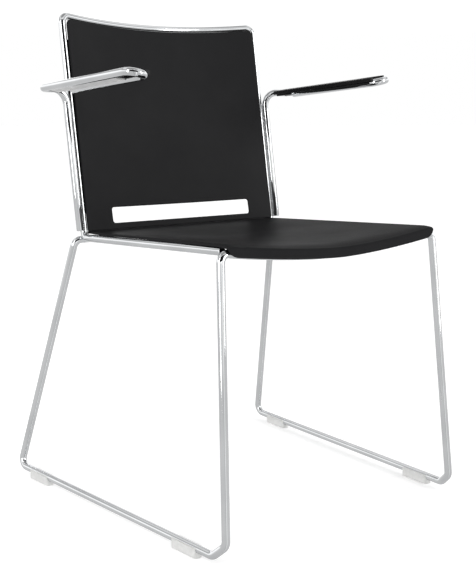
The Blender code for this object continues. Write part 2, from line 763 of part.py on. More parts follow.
def build():
    start_scene()
    make_seat_back_rod()
    for side, word in ((-1, "left"), (1, "right")):
        make_sled_rod(word + "_sled_rod", side)
        make_arm(word, side)
        make_glide("front_glide_" + word, side, FRONT_GLIDE_IN, True)
        make_glide("rear_glide_" + word, side, REAR_GLIDE_IN, False)
    make_seat_shell()
    make_back_shell()
    for name, x, y in tab_places():
        make_seat_tab(name, x, y)
        make_screw(name, x, y)


build()
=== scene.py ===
"""Looks of the stacking armchair: chrome rod, moulded plastic, clear glides.

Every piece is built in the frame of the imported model: metres, the front of the
chair faces -Y, and the floor is z = 0.
"""
import math

import bmesh
import bpy
from mathutils import Matrix, Vector
from mathutils.geometry import delaunay_2d_cdt


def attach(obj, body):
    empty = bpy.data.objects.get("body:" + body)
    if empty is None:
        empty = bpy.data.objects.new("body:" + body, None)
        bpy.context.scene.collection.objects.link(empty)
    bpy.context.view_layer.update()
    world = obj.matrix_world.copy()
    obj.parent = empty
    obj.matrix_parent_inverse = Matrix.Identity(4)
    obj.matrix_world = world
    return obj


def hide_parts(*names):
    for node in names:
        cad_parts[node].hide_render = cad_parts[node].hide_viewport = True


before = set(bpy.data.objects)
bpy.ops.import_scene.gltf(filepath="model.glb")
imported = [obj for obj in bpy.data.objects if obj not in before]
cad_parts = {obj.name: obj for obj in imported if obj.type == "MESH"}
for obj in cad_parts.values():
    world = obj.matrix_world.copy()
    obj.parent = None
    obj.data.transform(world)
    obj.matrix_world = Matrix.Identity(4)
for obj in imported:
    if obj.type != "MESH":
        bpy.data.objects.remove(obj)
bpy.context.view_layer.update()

# Rod stock and bends. The bends of the legs and at the floor are the photo's, and
# tighter than in the solids.
ROD_RADIUS = 0.0065
ROD_END_ROUND = 0.0012
FIT = 0.0003
ROD_SIDES = 32
BEND_STEPS = 20
FRAME_BEND = 0.013
LEG_TOP_BEND = 0.0135
FLOOR_BEND = 0.015

# Sled base
FLOOR_ROD_Z = 0.014
BASE_DEPTH = 0.582
REAR_FLOOR_HALF = 0.286
FRONT_FLOOR_HALF = 0.253
LEG_TOP_HALF = 0.2262
REAR_CROSS_Y = 0.1725
REAR_CROSS_Z = 0.4422
FRONT_CROSS_Y = -0.245
FRONT_CROSS_Z = 0.4605
FRONT_CROSS_STRAIGHT = 0.030
FRONT_CROSS_EASE = 0.0045
FRONT_CROSS_DROP = 0.0140
FRONT_CROSS_LEVEL = 0.030
FRONT_CROSS_STEPS = 16
FRONT_CROSS_POWER = 1.5

# Front feet: an oblique piece of rod between two bends. Its top stands this far over
# the runner's axis, inwards and back, and its rear end this far along the runner.
FRONT_FOOT_RISE = 0.020
FRONT_FOOT_IN = 0.005
FRONT_FOOT_BACK = 0.0063
FRONT_FOOT_RUN = 0.030

# Seat and back rod
RAIL_HALF = 0.2125
RAIL_REAR_Y = 0.163
RAIL_REAR_Z = 0.4455
RAIL_RISE = 0.0150
RAIL_FRONT_Y = FRONT_CROSS_Y + 2 * ROD_RADIUS + FIT
RAIL_FRONT_Z = RAIL_REAR_Z + RAIL_RISE
BACK_HEIGHT = 0.383
BACK_LEAN = 0.062
BACK_TOP_Y = RAIL_REAR_Y + BACK_LEAN
BACK_TOP_Z = RAIL_REAR_Z + BACK_HEIGHT
TOP_BOW = 0.030
TOP_DIP = 0.011
TOP_STEPS = 48
TOP_BAR_CLEAR = FRAME_BEND * 1.3

# Seat shell. Its lap closes the light gap beside the rail at the rear.
SEAT_THICKNESS = 0.004
SEAT_REAR_Y = 0.168
SEAT_REAR_HALF = 0.204
SEAT_FRONT_HALF = 0.2190
SEAT_REST = 0.003
SEAT_LAP = 0.0045
SEAT_LAP_Y = 0.151
SEAT_LAP_RUN = 0.022
SEAT_DISH = 0.0140
SEAT_DISH_RUN = 0.16
SEAT_DISH_POWER = 1.6
NOSE_START_Y = -0.228
NOSE_AHEAD_MIDDLE = 0.0158
NOSE_AHEAD_SIDE = 0.0055
NOSE_POWER = 1.8
NOSE_FALL = 0.0020
NOSE_RADIUS = 0.006
LIP_DEPTH = 0.0165
LIP_TUCK = 0.004
LIP_CORNER = 0.017

# Back shell
BACK_THICKNESS = 0.004
BACK_OVERLAP_LOW = 0.0035
BACK_OVERLAP_TOP = 0.0010
BACK_TOP_INSET = 0.005
BACK_CORNER = 0.012
BACK_FOOT_CORNER = 0.004
BACK_SEAT_GAP = 0.0006
BACK_LOW_BOW = 0.10
CLIP_WALL = 0.003
CLIP_START = 0.030
CLIP_LENGTH = 0.300
CLIP_SHORT = 0.0005
CLIP_ARC_START = math.radians(157)
CLIP_ARC = math.radians(60)
CLIP_ARC_STEPS = 6
SLOT_LENGTH = 0.311
SLOT_HEIGHT = 0.028
SLOT_CORNER = 0.005
SLOT_ABOVE_SEAT = 0.0114

# Arms, in a frame with u across (outward), v along (forward) and w up
ARM_LOOP_HALF = 0.0155
ARM_LENGTH = 0.284
ARM_CENTRE_X = 0.2608
ARM_REAR_Y = 0.185
ARM_REAR_Z = 0.6988
ARM_RISE = 0.0197
ARM_CANT = math.radians(12.0)
ARM_SIDE_LEAD = 0.0070
ARM_RISER_BEND = 0.026
ARM_CORNER_BEND = 0.017
ARM_END = 0.052
ARM_LOOP_BEND = ARM_LOOP_HALF * 0.98

# Mesh of the moulded shells: rounded rim, longest side of an outline, least distance
# of a grid point from an outline, and the extent and counts of each grid
SHELL_RIM = 0.0011
OUTLINE_STEP = 0.004
EDGE_CLEAR = 0.0012
SEAT_GRID_HALF = 0.216
SEAT_COLUMNS = 73
SEAT_GRID_REAR = -0.41
SEAT_GRID_NOSE = -0.004
SEAT_ROWS = 66
NOSE_ROWS = 8
LIP_ROWS = 4
LIP_ROW_GAP = 0.0025
SEAT_SIDE_STEPS = 30
SEAT_REAR_STEPS = 60
BACK_GRID_HALF = 0.206
BACK_COLUMNS = 70
BACK_GRID_EDGE = 0.003
BACK_ROWS = 62

# Where a texture's run between two values starts and ends
RAMP_START = 0.35
RAMP_END = 0.65

# Edges sharper than these stay sharp, and rims are rounded where the wall turns more
ROD_SHARP = math.radians(50)
HOOK_SHARP = math.radians(30)
SOLID_SHARP = math.radians(35)
RIM_TURN = math.radians(55)

# Plastics: darkest and lightest colour, roughness, grain in metres, and shine
SEAT_LOOK = ((0.0150, 0.0150, 0.0158), (0.0166, 0.0166, 0.0174), 0.50, 0.0009, 0.011)
BACK_LOOK = ((0.0072, 0.0072, 0.0080), (0.0082, 0.0082, 0.0090), 0.50, 0.0009, 0.12)
PAD_LOOK = ((0.0092, 0.0092, 0.0098), (0.0106, 0.0106, 0.0112), 0.42, 0.0007, 0.16)

# Floor and the dark card that only reflections see
FLOOR_HALF = 150.0
FLOOR_DROP = 0.0004
FLOOR_TONE = 0.96
FLOOR_GLOW = 0.25
CARD_WIDTH = 3.0
CARD_HEIGHT = 2.25
CARD_PLACE = (-1.10, -1.90, 2.07)

# Lights: two strips beside the camera and a large soft one overhead
STRIP_WIDTH = 0.35
STRIP_HEIGHT = 2.4
STRIP_POWER = 20.0
STRIP_TARGET = (0.0, 0.0, 0.5)
LEFT_STRIP_PLACE = (-2.6, -0.6, 1.2)
RIGHT_STRIP_PLACE = (1.6, -2.6, 1.2)
TOP_LIGHT_SIZE = 3.0
TOP_LIGHT_POWER = 2.0
TOP_LIGHT_PLACE = (0.0, 0.4, 3.4)
TOP_LIGHT_TARGET = (0.0, 0.0, 0.0)

# The studio's walls: how bright they are from straight down (0) to straight up (1)
WALL_BY_HEIGHT = ((0.0, 0.72), (0.47, 0.80), (0.49, 1.0), (0.54, 1.0),
                  (0.56, 1.5), (0.68, 1.5), (0.72, 0.60), (0.80, 0.60),
                  (0.84, 1.05), (0.92, 1.05), (0.95, 0.35), (1.0, 0.35))
# and, multiplied with it, once round the chair, with -Y at 0.5 and -X at 0.25
WALL_BY_TURN = ((0.0, 1.0), (0.400, 1.0), (0.410, 0.72), (0.424, 0.72), (0.434, 1.0),
                (0.464, 1.0), (0.472, 1.8), (0.488, 1.8), (0.496, 1.0), (1.0, 1.0))

# The photo's camera: place, heading and focal length in pixels of the long side
CAMERA_PLACE = Vector((-1.1192, -1.4105, 0.6505))
CAMERA_YAW = math.radians(-38.44)
CAMERA_PITCH = math.radians(9.39)
CAMERA_ROLL = math.radians(-0.06)
FOCAL_PIXELS = 1031.5
PHOTO_HEIGHT = 579
SENSOR = 36.0
CAMERA_NEAR = 0.05
CAMERA_FAR = 100.0

SIDES = ((-1, "left"), (1, "right"))


# Node helpers for materials

def new_material(name, colour, roughness, metallic=0.0):
    material = bpy.data.materials.new(name)
    material.use_nodes = True
    shader = material.node_tree.nodes["Principled BSDF"]
    shader.inputs["Base Color"].default_value = (*colour, 1.0)
    shader.inputs["Roughness"].default_value = roughness
    shader.inputs["Metallic"].default_value = metallic
    material.diffuse_color = (*colour, 1.0)
    return material, shader


def noise(material, scale, detail, stretch=(1.0, 1.0, 1.0)):
    """Noise in the chair's own metres, so its grain has a real size."""
    nodes = material.node_tree.nodes
    links = material.node_tree.links
    place = nodes.new("ShaderNodeTexCoord")
    mapping = nodes.new("ShaderNodeMapping")
    mapping.inputs["Scale"].default_value = stretch
    texture = nodes.new("ShaderNodeTexNoise")
    texture.inputs["Scale"].default_value = scale
    texture.inputs["Detail"].default_value = detail
    links.new(place.outputs["Object"], mapping.inputs["Vector"])
    links.new(mapping.outputs["Vector"], texture.inputs["Vector"])
    return texture


def ramp(material, texture, low, high):
    """Turns a texture's factor into a run between two colours or greys."""
    nodes = material.node_tree.nodes
    run = nodes.new("ShaderNodeValToRGB")
    run.color_ramp.elements[0].position = RAMP_START
    run.color_ramp.elements[1].position = RAMP_END
    run.color_ramp.elements[0].color = (*low, 1.0)
    run.color_ramp.elements[1].color = (*high, 1.0)
    material.node_tree.links.new(texture.outputs[0], run.inputs["Fac"])
    return run


def grey(value):
    return (value, value, value)


def set_colour(material, shader, texture, low, high):
    run = ramp(material, texture, low, high)
    material.node_tree.links.new(run.outputs["Color"], shader.inputs["Base Color"])


def set_roughness(material, shader, texture, low, high):
    run = ramp(material, texture, grey(low), grey(high))
    material.node_tree.links.new(run.outputs["Color"], shader.inputs["Roughness"])


def bump(material, shader, height, strength, distance, under=None):
    """Adds a bump from a height texture, over another bump where one is given."""
    node = material.node_tree.nodes.new("ShaderNodeBump")
    node.inputs["Strength"].default_value = strength
    node.inputs["Distance"].default_value = distance
    material.node_tree.links.new(height.outputs[0], node.inputs["Height"])
    if under:
        material.node_tree.links.new(under.outputs["Normal"], node.inputs["Normal"])
    material.node_tree.links.new(node.outputs["Normal"], shader.inputs["Normal"])
    return node


def chrome_material(name):
    """Bright chrome plate: a faint haze and a slight waviness from polishing."""
    material, shader = new_material(name, (0.66, 0.67, 0.68), 0.06, 1.0)
    set_roughness(material, shader, noise(material, 38.0, 4.0), 0.045, 0.095)
    tint = noise(material, 14.0, 2.0)
    set_colour(material, shader, tint, (0.61, 0.62, 0.63), (0.67, 0.68, 0.69))
    bump(material, shader, noise(material, 90.0, 1.0), 0.05, 0.0002)
    return material


def plastic_material(name, dark, light, roughness, grain, shine):
    """Black moulded plastic with a fine spark-eroded grain and faint rubbing."""
    material, shader = new_material(name, light, roughness)
    set_colour(material, shader, noise(material, 22.0, 5.0), dark, light)
    rubbing = noise(material, 9.0, 6.0)
    set_roughness(material, shader, rubbing, roughness - 0.02, roughness + 0.03)
    shader.inputs["Specular IOR Level"].default_value = shine
    coarse = bump(material, shader, noise(material, 1.0 / grain, 2.0), 0.35, grain * 0.25)
    bump(material, shader, noise(material, 2.7 / grain, 1.0), 0.2, grain * 0.12, coarse)
    return material


def clear_material(name):
    """Milky translucent plastic, scuffed on its underside."""
    material, shader = new_material(name, (0.80, 0.80, 0.79), 0.35)
    shader.inputs["Transmission Weight"].default_value = 0.40
    shader.inputs["IOR"].default_value = 1.49
    cloud = noise(material, 160.0, 3.0)
    set_colour(material, shader, cloud, (0.80, 0.80, 0.79), (0.86, 0.86, 0.85))
    scuff = noise(material, 420.0, 5.0, (1.0, 0.2, 1.0))
    set_roughness(material, shader, scuff, 0.28, 0.36)
    bump(material, shader, scuff, 0.15, 0.0002)
    return material


def paint_material(name):
    """Light grey satin paint with a faint orange peel."""
    material, shader = new_material(name, (0.56, 0.56, 0.56), 0.55)
    cloud = noise(material, 60.0, 3.0)
    set_colour(material, shader, cloud, grey(0.53), grey(0.60))
    set_roughness(material, shader, cloud, 0.50, 0.62)
    bump(material, shader, noise(material, 900.0, 2.0), 0.15, 0.0002)
    return material


def zinc_material(name):
    """Dull zinc plate with a fine turned grain."""
    material, shader = new_material(name, (0.60, 0.60, 0.57), 0.32, 1.0)
    blotch = noise(material, 500.0, 4.0)
    set_colour(material, shader, blotch, (0.50, 0.50, 0.47), (0.66, 0.66, 0.64))
    set_roughness(material, shader, blotch, 0.26, 0.42)
    bump(material, shader, blotch, 0.2, 0.00015)
    return material


# Mesh helpers

def piece(name, bm, material, nodes=(), sharp=None):
    """A bmesh as a piece of the chair, riding on its one body."""
    bmesh.ops.recalc_face_normals(bm, faces=bm.faces)
    for face in bm.faces:
        face.smooth = True
    mesh = bpy.data.meshes.new(name)
    bm.to_mesh(mesh)
    bm.free()
    if sharp:
        mesh.set_sharp_from_angle(angle=sharp)
    mesh.materials.append(material)
    obj = bpy.data.objects.new(name, mesh)
    bpy.context.scene.collection.objects.link(obj)
    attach(obj, "root")
    if nodes:
        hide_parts(*nodes)
    return obj


def mirrored(point, side):
    """The point on the left (-1) or on the right (1)."""
    return Vector((point[0] * side, point[1], point[2]))


def bent_path(corners, radii):
    """Points of a line through the corners, with an arc at each inner corner."""
    points = [Vector(corners[0])]
    for before, corner, after, radius in zip(corners, corners[1:], corners[2:], radii):
        corner = Vector(corner)
        back = (Vector(before) - corner).normalized()
        ahead = (Vector(after) - corner).normalized()
        turn = math.pi - back.angle(ahead)
        if radius == 0 or turn < 1e-4:
            points.append(corner)
            continue
        reach = radius * math.tan(turn / 2)
        centre = corner + (back + ahead).normalized() * (radius / math.cos(turn / 2))
        spoke = corner + back * reach - centre
        across = corner + ahead * reach - centre
        axis = spoke.cross(across).normalized()
        for i in range(BEND_STEPS + 1):
            swing = Matrix.Rotation(turn * i / BEND_STEPS, 3, axis)
            points.append(centre + swing @ spoke)
    points.append(Vector(corners[-1]))
    return points


def rod_stations(points):
    """Place, heading, sideways direction and radius at each point, without twist."""
    ways = [(b - a).normalized() for a, b in zip(points, points[1:])]
    normal = ways[0].orthogonal().normalized()
    stations = []
    for i, point in enumerate(points):
        way = ways[min(i, len(ways) - 1)]
        if 0 < i < len(ways):
            way = (ways[i - 1] + ways[i]).normalized()
        normal = (normal - way * normal.dot(way)).normalized()
        stations.append((point, way, normal, ROD_RADIUS))
    return stations


def eased_ends(stations):
    """The stations with a small rounding at both cut ends of the rod."""
    place, way, normal, radius = stations[0]
    last_place, last_way, last_normal, _ = stations[-1]
    ease = [(0.0, radius - ROD_END_ROUND),
            (ROD_END_ROUND * 0.3, radius - ROD_END_ROUND * 0.3),
            (ROD_END_ROUND, radius)]
    head = [(place + way * t, way, normal, r) for t, r in ease]
    tail = [(last_place - last_way * t, last_way, last_normal, r) for t, r in reversed(ease)]
    return head + stations[1:-1] + tail


def sweep(points):
    """A round rod swept along the points."""
    bm = bmesh.new()
    rings = []
    for point, way, normal, size in eased_ends(rod_stations(points)):
        side = way.cross(normal)
        ring = []
        for k in range(ROD_SIDES):
            angle = 2 * math.pi * k / ROD_SIDES
            spoke = normal * math.cos(angle) + side * math.sin(angle)
            ring.append(bm.verts.new(point + spoke * size))
        rings.append(ring)
    for one, two in zip(rings, rings[1:]):
        for k in range(ROD_SIDES):
            n = (k + 1) % ROD_SIDES
            bm.faces.new((one[k], one[n], two[n], two[k]))
    bm.faces.new(rings[0][::-1])
    bm.faces.new(rings[-1])
    return bm


def rod(name, points, material, nodes):
    return piece(name, sweep(points), material, nodes, ROD_SHARP)


def arc_points(centre, radius, start, end, steps):
    """Points of an arc in a plane, as (a, b) pairs."""
    points = []
    for i in range(steps + 1):
        angle = start + (end - start) * i / steps
        points.append(Vector((centre[0] + radius * math.cos(angle),
                              centre[1] + radius * math.sin(angle))))
    return points


def inside(point, loop):
    """Whether a flat point is inside a closed loop."""
    odd = False
    for a, b in zip(loop, loop[1:] + loop[:1]):
        if (a.y > point.y) != (b.y > point.y):
            if point.x < a.x + (b.x - a.x) * (point.y - a.y) / (b.y - a.y):
                odd = not odd
    return odd


def loop_distance(point, loop):
    """Distance from a flat point to the nearest side of a closed loop."""
    nearest = 1e9
    for a, b in zip(loop, loop[1:] + loop[:1]):
        side = b - a
        t = max(0.0, min(1.0, (point - a).dot(side) / max(side.length_squared, 1e-12)))
        nearest = min(nearest, (a + side * t - point).length)
    return nearest


def even_loop(points, step):
    """The same closed loop with no side longer than the step."""
    loop = []
    for a, b in zip(points, points[1:] + points[:1]):
        count = max(1, math.ceil((b - a).length / step))
        loop += [a.lerp(b, i / count) for i in range(count)]
    return loop


def sheet_points(loops, columns, rows):
    """The loops' own points, and those of a grid that lie on the sheet."""
    points = [p for loop in loops for p in loop]
    for a in columns:
        for b in rows:
            spot = Vector((a, b))
            if not inside(spot, loops[0]) or any(inside(spot, hole) for hole in loops[1:]):
                continue
            if min(loop_distance(spot, loop) for loop in loops) > EDGE_CLEAR:
                points.append(spot)
    return points


def sheet_edges(loops):
    """The loops' sides, as pairs of point numbers."""
    edges = []
    start = 0
    for loop in loops:
        count = len(loop)
        edges += [(start + i, start + (i + 1) % count) for i in range(count)]
        start += count
    return edges


def sheet(outline, holes, columns, rows, point_at):
    """A moulded shell's face: a flat outline with holes, bent by point_at."""
    loops = [even_loop(loop, OUTLINE_STEP) for loop in [outline] + holes]
    points = sheet_points(loops, columns, rows)
    flat, _, faces, _, _, _ = delaunay_2d_cdt(points, sheet_edges(loops), [], 1, 1e-7)
    bm = bmesh.new()
    verts = [bm.verts.new(point_at(p.x, p.y)) for p in flat]
    for face in faces:
        middle = sum((flat[i] for i in face), Vector((0.0, 0.0))) / len(face)
        if not any(inside(middle, hole) for hole in loops[1:]):
            bm.faces.new([verts[i] for i in face])
    loose = [v for v in bm.verts if not v.link_faces]
    bmesh.ops.delete(bm, geom=loose, context='VERTS')
    bmesh.ops.join_triangles(bm, faces=bm.faces, angle_face_threshold=0.3,
                             angle_shape_threshold=0.6)
    return bm


def face_up(obj, way):
    """Turns an open sheet's faces towards a side."""
    total = sum((f.normal * f.area for f in obj.data.polygons), Vector())
    if total.dot(way) < 0:
        obj.data.flip_normals()


def thicken(obj, thickness):
    """Gives a sheet its wall behind its face, and rounds the rim."""
    wall = obj.modifiers.new("wall", 'SOLIDIFY')
    wall.thickness = thickness
    wall.offset = -1.0
    wall.use_even_offset = True
    rim = obj.modifiers.new("rim", 'BEVEL')
    rim.width = SHELL_RIM
    rim.segments = 3
    rim.limit_method = 'ANGLE'
    rim.angle_limit = RIM_TURN
    rim.use_clamp_overlap = True
    bpy.context.view_layer.update()
    graph = bpy.context.evaluated_depsgraph_get()
    mesh = bpy.data.meshes.new_from_object(obj.evaluated_get(graph))
    obj.modifiers.clear()
    obj.data = mesh


def spread(start, end, count):
    """Even steps from start to end, with both."""
    return [start + (end - start) * i / (count - 1) for i in range(count)]


# The chair's form, as in the solids but for the leg bends, the front feet and the
# seat's lap over its rail

def top_bow(x):
    """Share of the top bar's bow and dip: 1 in the middle, 0 at the uprights."""
    return 1.0 - (x / RAIL_HALF) ** 2


def rail_height(y):
    """Height of the side rails' axis, which rises to the front."""
    share = (RAIL_REAR_Y - y) / (RAIL_REAR_Y - RAIL_FRONT_Y)
    return RAIL_REAR_Z + RAIL_RISE * share


def upright_y(z):
    """Depth of the uprights' axis, which leans back."""
    return RAIL_REAR_Y + (z - RAIL_REAR_Z) * BACK_LEAN / BACK_HEIGHT


def front_cross_z(x):
    """Height of the front cross rod, which dips to the middle under the seat."""
    flat_end = LEG_TOP_HALF - FRONT_CROSS_STRAIGHT
    share = max(abs(x) - FRONT_CROSS_LEVEL, 0.0) / (flat_end - FRONT_CROSS_LEVEL)
    drop = FRONT_CROSS_DROP * (1.0 - share ** FRONT_CROSS_POWER)
    return FRONT_CROSS_Z - FRONT_CROSS_EASE - drop


def seat_back_points():
    """Axis of the rod that makes both rails, both uprights and the top bar."""
    rail_front = (RAIL_HALF, RAIL_FRONT_Y, RAIL_FRONT_Z)
    rail_rear = (RAIL_HALF, RAIL_REAR_Y, RAIL_REAR_Z)
    top = (RAIL_HALF, BACK_TOP_Y, BACK_TOP_Z)
    left_side = [mirrored(p, -1) for p in (rail_front, rail_rear, top)]
    right_side = [mirrored(p, 1) for p in (top, rail_rear, rail_front)]
    bar = []
    for i in range(1, TOP_STEPS):
        x = RAIL_HALF * (2.0 * i / TOP_STEPS - 1.0)
        if abs(x) < RAIL_HALF - TOP_BAR_CLEAR:
            y = BACK_TOP_Y + TOP_BOW * top_bow(x)
            bar.append((x, y, BACK_TOP_Z - TOP_DIP * top_bow(x)))
    radii = [FRAME_BEND, FRAME_BEND] + [0] * len(bar) + [FRAME_BEND, FRAME_BEND]
    return bent_path(left_side + bar + right_side, radii)


def sled_points(side):
    """Axis of one side of the base, from the front cross rod to the rear one."""
    rear_floor = Vector((REAR_FLOOR_HALF, BASE_DEPTH / 2, FLOOR_ROD_Z))
    front_floor = Vector((FRONT_FLOOR_HALF, -BASE_DEPTH / 2, FLOOR_ROD_Z))
    front_top = Vector((LEG_TOP_HALF, FRONT_CROSS_Y, FRONT_CROSS_Z))
    foot_top = front_floor.lerp(front_top, FRONT_FOOT_RISE / (FRONT_CROSS_Z - FLOOR_ROD_Z))
    foot_top += Vector((-FRONT_FOOT_IN, FRONT_FOOT_BACK, 0.0))
    foot_rear = front_floor.lerp(rear_floor, FRONT_FOOT_RUN / BASE_DEPTH)
    rear_top = (LEG_TOP_HALF, REAR_CROSS_Y, REAR_CROSS_Z)
    middle = FIT / 2
    flat_end = LEG_TOP_HALF - FRONT_CROSS_STRAIGHT
    cross = [(middle, FRONT_CROSS_Y, front_cross_z(middle))]
    for x in spread(FRONT_CROSS_LEVEL, flat_end, FRONT_CROSS_STEPS):
        cross.append((x, FRONT_CROSS_Y, front_cross_z(x)))
    corners = cross + [front_top, foot_top, foot_rear, rear_floor, rear_top]
    corners.append((middle, REAR_CROSS_Y, REAR_CROSS_Z))
    radii = [0] * (len(cross) - 1)
    radii += [LEG_TOP_BEND, FLOOR_BEND, FLOOR_BEND, FLOOR_BEND, LEG_TOP_BEND]
    return bent_path([mirrored(p, side) for p in corners], radii)


def arm_frame():
    """Frame of the right arm's loop, canted with its outer limb higher."""
    along = Vector((0.0, -ARM_LENGTH, ARM_RISE)).normalized()
    across = Vector((math.cos(ARM_CANT), 0.0, math.sin(ARM_CANT)))
    across = (across - along * across.dot(along)).normalized()
    up = across.cross(-along)
    matrix = Matrix((across, along, up)).transposed().to_4x4()
    matrix.translation = Vector((ARM_CENTRE_X, ARM_REAR_Y, ARM_REAR_Z))
    return matrix


def arm_rod_points(side):
    """Axis of the arm's rod: up the upright, out, forward and back under the pad."""
    place = arm_frame()
    beside = math.sqrt((2 * ROD_RADIUS + FIT) ** 2 - ARM_SIDE_LEAD ** 2)
    x = RAIL_HALF + beside
    low_z = RAIL_REAR_Z + 2 * ROD_RADIUS
    low = (x, upright_y(low_z) - ARM_SIDE_LEAD, low_z)
    rear_outer = place @ Vector((ARM_LOOP_HALF, 0.0, 0.0))
    high = (x, upright_y(rear_outer.z) - ARM_SIDE_LEAD, rear_outer.z)
    tip = ARM_LENGTH - ROD_RADIUS
    front_outer = place @ Vector((ARM_LOOP_HALF, tip, 0.0))
    front_inner = place @ Vector((-ARM_LOOP_HALF, tip, 0.0))
    end_inner = place @ Vector((-ARM_LOOP_HALF, ARM_END, 0.0))
    corners = [low, high, rear_outer, front_outer, front_inner, end_inner]
    radii = [ARM_RISER_BEND, ARM_CORNER_BEND, ARM_LOOP_BEND, ARM_LOOP_BEND]
    return bent_path([mirrored(p, side) for p in corners], radii)


def seat_half_width(y):
    """Half width of the seat, which laps over the rail in front of the upright's bend."""
    share = (SEAT_REAR_Y - y) / (SEAT_REAR_Y - FRONT_CROSS_Y)
    past = min(max((SEAT_LAP_Y - y) / SEAT_LAP_RUN, 0.0), 1.0)
    lap = SEAT_LAP * past * past * (3.0 - 2.0 * past) * (1.0 - share)
    return SEAT_REAR_HALF + (SEAT_FRONT_HALF - SEAT_REAR_HALF) * share + lap


def seat_height(x, y):
    """Height of the seat's face: level with its sides on the rails, dished between."""
    side = rail_height(y) + ROD_RADIUS + FIT + SEAT_THICKNESS
    share = min(max((RAIL_REAR_Y - y) / SEAT_DISH_RUN, 0.0), 1.0)
    depth = SEAT_DISH * share * share * (3.0 - 2.0 * share)
    inward = 1.0 - min(abs(x) / (RAIL_HALF - SEAT_REST), 1.0) ** SEAT_DISH_POWER
    past = max(NOSE_START_Y - y, 0.0) / (NOSE_START_Y - FRONT_CROSS_Y + NOSE_AHEAD_SIDE)
    return side - depth * inward - NOSE_FALL * past ** 2


def seat_front(x):
    """Where the nose starts to roll down. It bows forward in the middle."""
    bow = NOSE_AHEAD_MIDDLE - NOSE_AHEAD_SIDE
    across = min(abs(x) / SEAT_FRONT_HALF, 1.0)
    return FRONT_CROSS_Y - NOSE_AHEAD_MIDDLE + bow * across ** NOSE_POWER


ROLL_RUN = NOSE_RADIUS * math.pi / 2
LIP_RUN = LIP_DEPTH - NOSE_RADIUS


def seat_face(x, run):
    """The seat's face. run is how far past the start of the nose a point is."""
    front = seat_front(x)
    y = front - min(run, 0.0)
    z = seat_height(x, y)
    turn = min(max(run / ROLL_RUN, 0.0), 1.0) * math.pi / 2
    drop = max(run - ROLL_RUN, 0.0) / LIP_RUN
    y -= NOSE_RADIUS * math.sin(turn)
    z -= NOSE_RADIUS * (1.0 - math.cos(turn))
    y += LIP_TUCK * (1.0 - (x / SEAT_FRONT_HALF) ** 2) * drop
    z -= LIP_RUN * drop
    return Vector((x, y, z))


def seat_outline():
    """Outline of the seat's sheet, as x and run, from the rear right corner round."""
    lip_end = ROLL_RUN + LIP_RUN
    half = seat_half_width(FRONT_CROSS_Y)
    corner = LIP_CORNER
    right = []
    for y in spread(SEAT_REAR_Y, FRONT_CROSS_Y, SEAT_SIDE_STEPS):
        x = seat_half_width(y)
        run = seat_front(x) - y
        if run < lip_end - corner - 0.003:
            right.append(Vector((x, run)))
    right += arc_points((half - corner, lip_end - corner), corner, 0.0, math.pi / 2, 12)
    left = [Vector((-p.x, p.y)) for p in reversed(right)]
    rear = []
    for x in spread(-SEAT_REAR_HALF, SEAT_REAR_HALF, SEAT_REAR_STEPS)[1:-1]:
        rear.append(Vector((x, seat_front(x) - SEAT_REAR_Y)))
    return right + left + rear


def back_bow(rise):
    """How far the back bows back. It is nearly straight at the seat."""
    return (BACK_LOW_BOW + (1.0 - BACK_LOW_BOW) * rise) * TOP_BOW


def back_half_width(rise):
    """Half width of the back, which laps a little in front of the uprights."""
    overlap = BACK_OVERLAP_LOW + (BACK_OVERLAP_TOP - BACK_OVERLAP_LOW) * rise
    return RAIL_HALF - ROD_RADIUS + overlap


def back_front_offset(rise):
    """How far the back's front face stands before the uprights' axis at its edge."""
    edge_slope = 2.0 * back_bow(rise) / back_half_width(rise)
    lap = back_half_width(rise) - RAIL_HALF + ROD_RADIUS
    lap += BACK_THICKNESS * math.sin(math.atan(edge_slope))
    stand = math.sqrt((ROD_RADIUS + 2 * FIT) ** 2 - (ROD_RADIUS - lap) ** 2)
    return stand + BACK_THICKNESS


def back_bottom():
    """Height of the back's bottom edge, just over the seat."""
    return seat_height(SEAT_REAR_HALF, RAIL_REAR_Y - ROD_RADIUS) + BACK_SEAT_GAP


BACK_TALL = BACK_TOP_Z - BACK_TOP_INSET - back_bottom()


def back_face(x, up):
    """The back's front face. up is the height over its bottom edge, before the dip."""
    rise = min(max(up / BACK_TALL, 0.0), 1.0)
    curve = 1.0 - min(abs(x) / back_half_width(rise), 1.0) ** 2
    z = back_bottom() + up - TOP_DIP * curve * rise
    return Vector((x, upright_y(z) - back_front_offset(rise) + back_bow(rise) * curve, z))


def back_outline():
    low = back_half_width(0.0)
    top = back_half_width(1.0)
    foot = BACK_FOOT_CORNER
    corner = BACK_CORNER
    points = arc_points((low - foot, foot), foot, -math.pi / 2, 0.0, 5)
    points += arc_points((top - corner, BACK_TALL - corner), corner, 0.0, math.pi / 2, 10)
    return points + [Vector((-p.x, p.y)) for p in reversed(points)]


def slot_outline():
    low = SLOT_ABOVE_SEAT + SLOT_CORNER
    high = SLOT_ABOVE_SEAT + SLOT_HEIGHT - SLOT_CORNER
    reach = SLOT_LENGTH / 2 - SLOT_CORNER
    quarter = math.pi / 2
    points = arc_points((reach, low), SLOT_CORNER, -quarter, 0.0, 6)
    points += arc_points((reach, high), SLOT_CORNER, 0.0, quarter, 6)
    return points + [Vector((-p.x, p.y)) for p in reversed(points)]


# Pieces

def make_rods(material):
    rod("frame_rod", seat_back_points(), material, ["seat_back_rod"])
    for side, word in SIDES:
        rod(word + "_base_rod", sled_points(side), material, [word + "_sled_rod"])
        rod(word + "_arm_loop", arm_rod_points(side), material, [word + "_arm_rod"])


